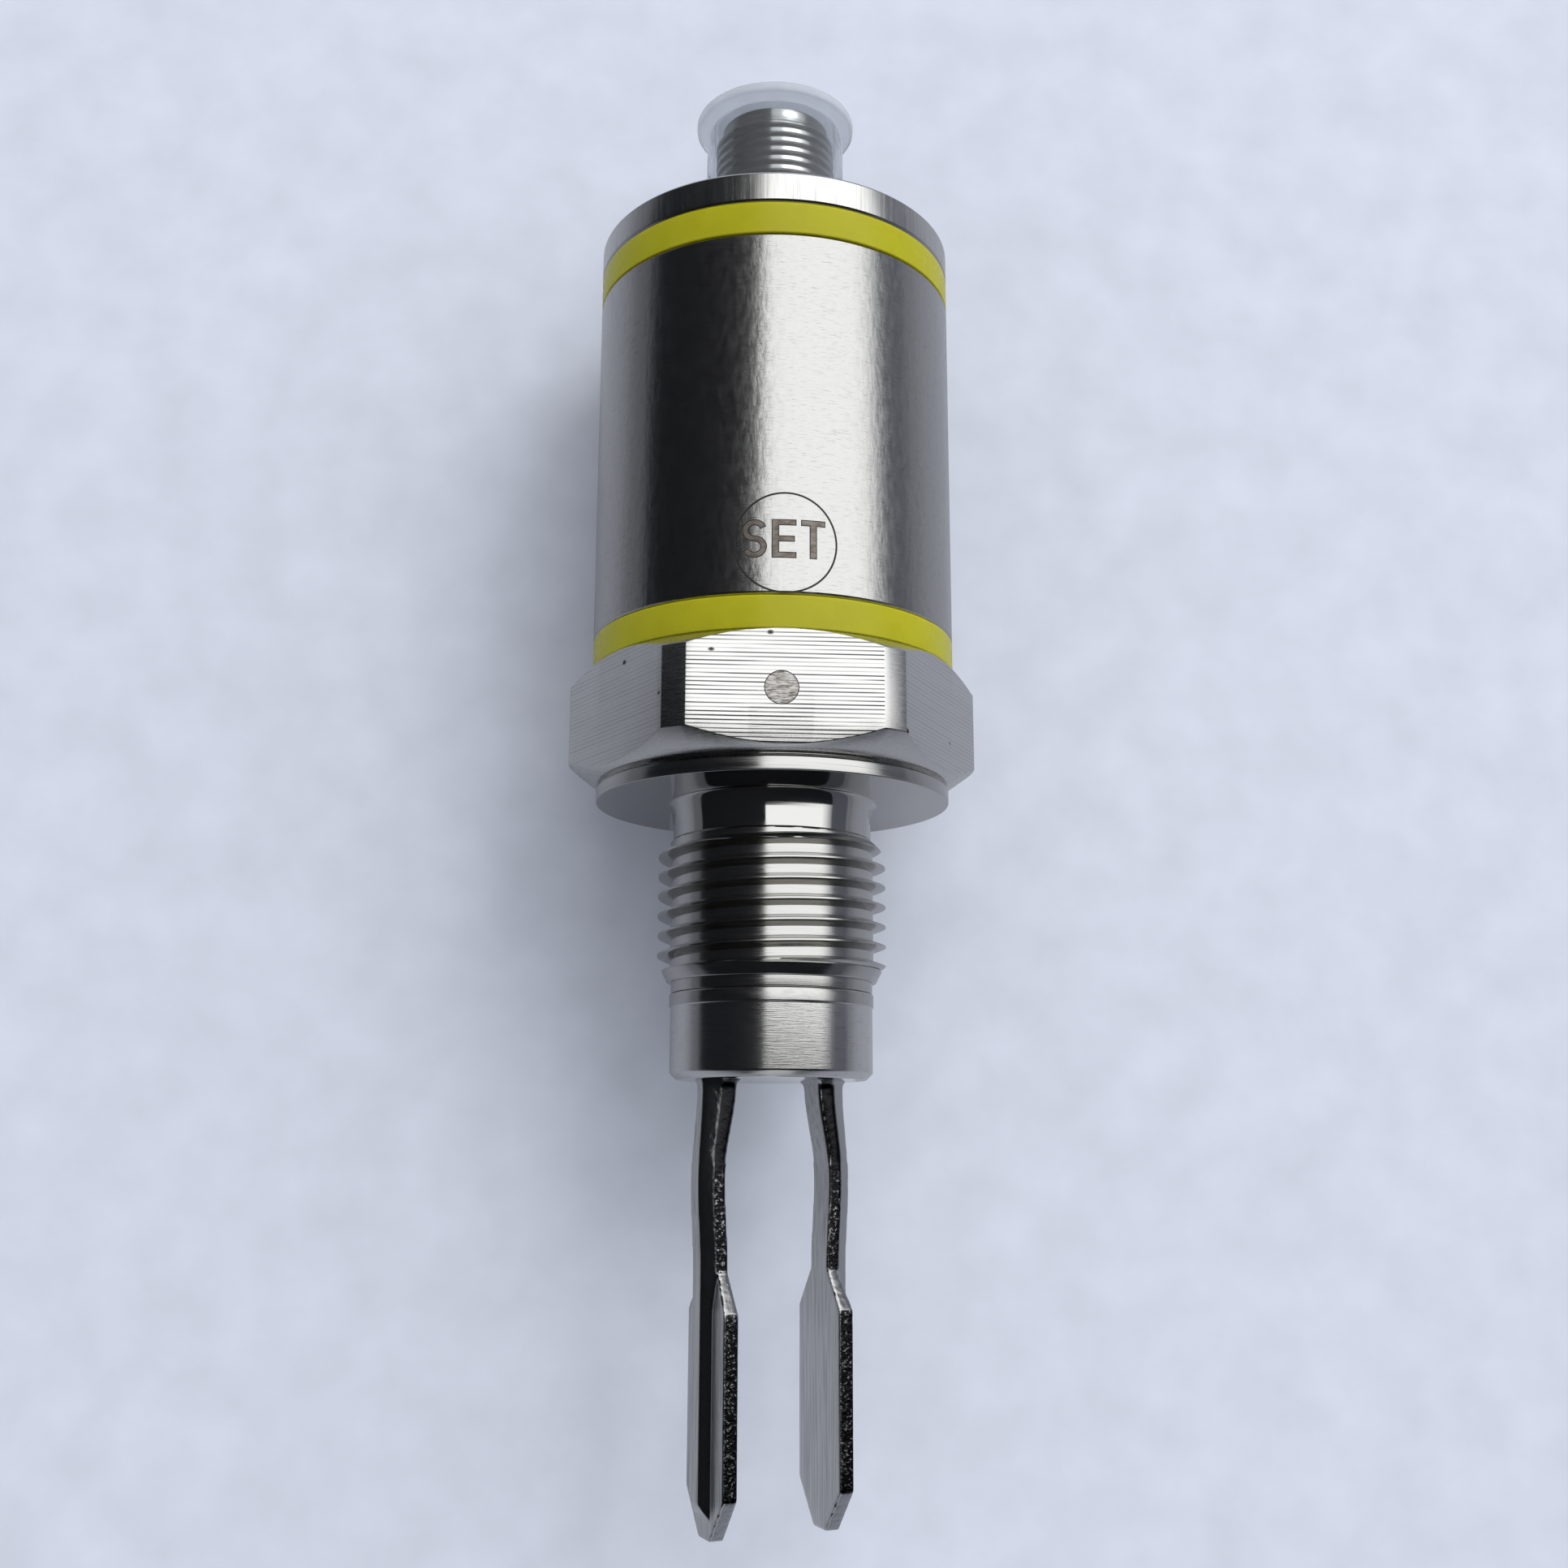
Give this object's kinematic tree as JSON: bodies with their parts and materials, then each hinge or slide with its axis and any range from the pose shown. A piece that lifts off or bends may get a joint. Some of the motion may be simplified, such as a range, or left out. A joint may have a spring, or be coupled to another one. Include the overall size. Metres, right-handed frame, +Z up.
{
  "type": "tuning fork level switch",
  "caption": "Vibrating fork level switch: threaded hexagon fitting with two tines, steel sleeve between yellow light rings, lid and round connector under a pull-off dust cap",
  "frame": {"origin": "centre of the collar's sealing face, on the tool axis", "axes": "+Y runs along the tool axis towards the connector, the fork points to -Y, +Z is up and is the normal of the hexagon flat with the orientation dot; the part lies on the opposite flat and on its sleeve"},
  "size_m": [0.038, 0.1341, 0.034],
  "materials": {
    "turned_steel": "fine turned stainless steel, bright on edges",
    "brushed_sleeve": "satin stainless steel brushed around the axis",
    "cast_steel": "cast stainless steel, faces ground along the tines",
    "yellow_plastic": "translucent olive yellow, smooth",
    "milky_plastic": "translucent milky polyethylene",
    "black_plastic": "moulded, matt",
    "seal_rubber": "smooth black rubber",
    "wire_insulation": "smooth insulation",
    "board_laminate": "green solder mask on glass laminate",
    "lamp_body": "clear cast lamp bodies",
    "alumina": "ground white ceramic",
    "piezo_ceramic": "fired grey ceramic",
    "brass_contacts": "plated brass"
  },
  "bodies": {
    "sensor": {"process_fitting": "turned_steel", "fork": "cast_steel", "lower_insulator": "alumina", "drive_piezo": "piezo_ceramic", "sense_piezo": "piezo_ceramic", "electrode_shims": "brass_contacts", "upper_insulator": "alumina", "pressure_washer": "turned_steel", "clamp_nut": "turned_steel", "piezo_leads": "wire_insulation", "lower_light_ring": "yellow_plastic", "lower_o_ring": "seal_rubber", "housing_sleeve": "brushed_sleeve", "lower_led_board": "board_laminate", "lower_leds": "lamp_body", "board_carrier": "black_plastic", "circuit_board": "board_laminate", "board_components": "black_plastic", "upper_led_board": "board_laminate", "upper_leds": "lamp_body", "upper_light_ring": "yellow_plastic", "upper_o_ring": "seal_rubber", "lid": "turned_steel", "connector_shell": "turned_steel", "connector_o_ring": "seal_rubber", "connector_insert": "black_plastic", "contact_pins": "brass_contacts", "connector_leads": "wire_insulation"},
    "cap": {"dust_cap": "milky_plastic"}
  },
  "joints": [
    {"name": "cap_pull", "type": "slide", "parent": "sensor", "child": "cap", "axis": [0, 1, 0], "range_m": [0, 0.018]}
  ]
}
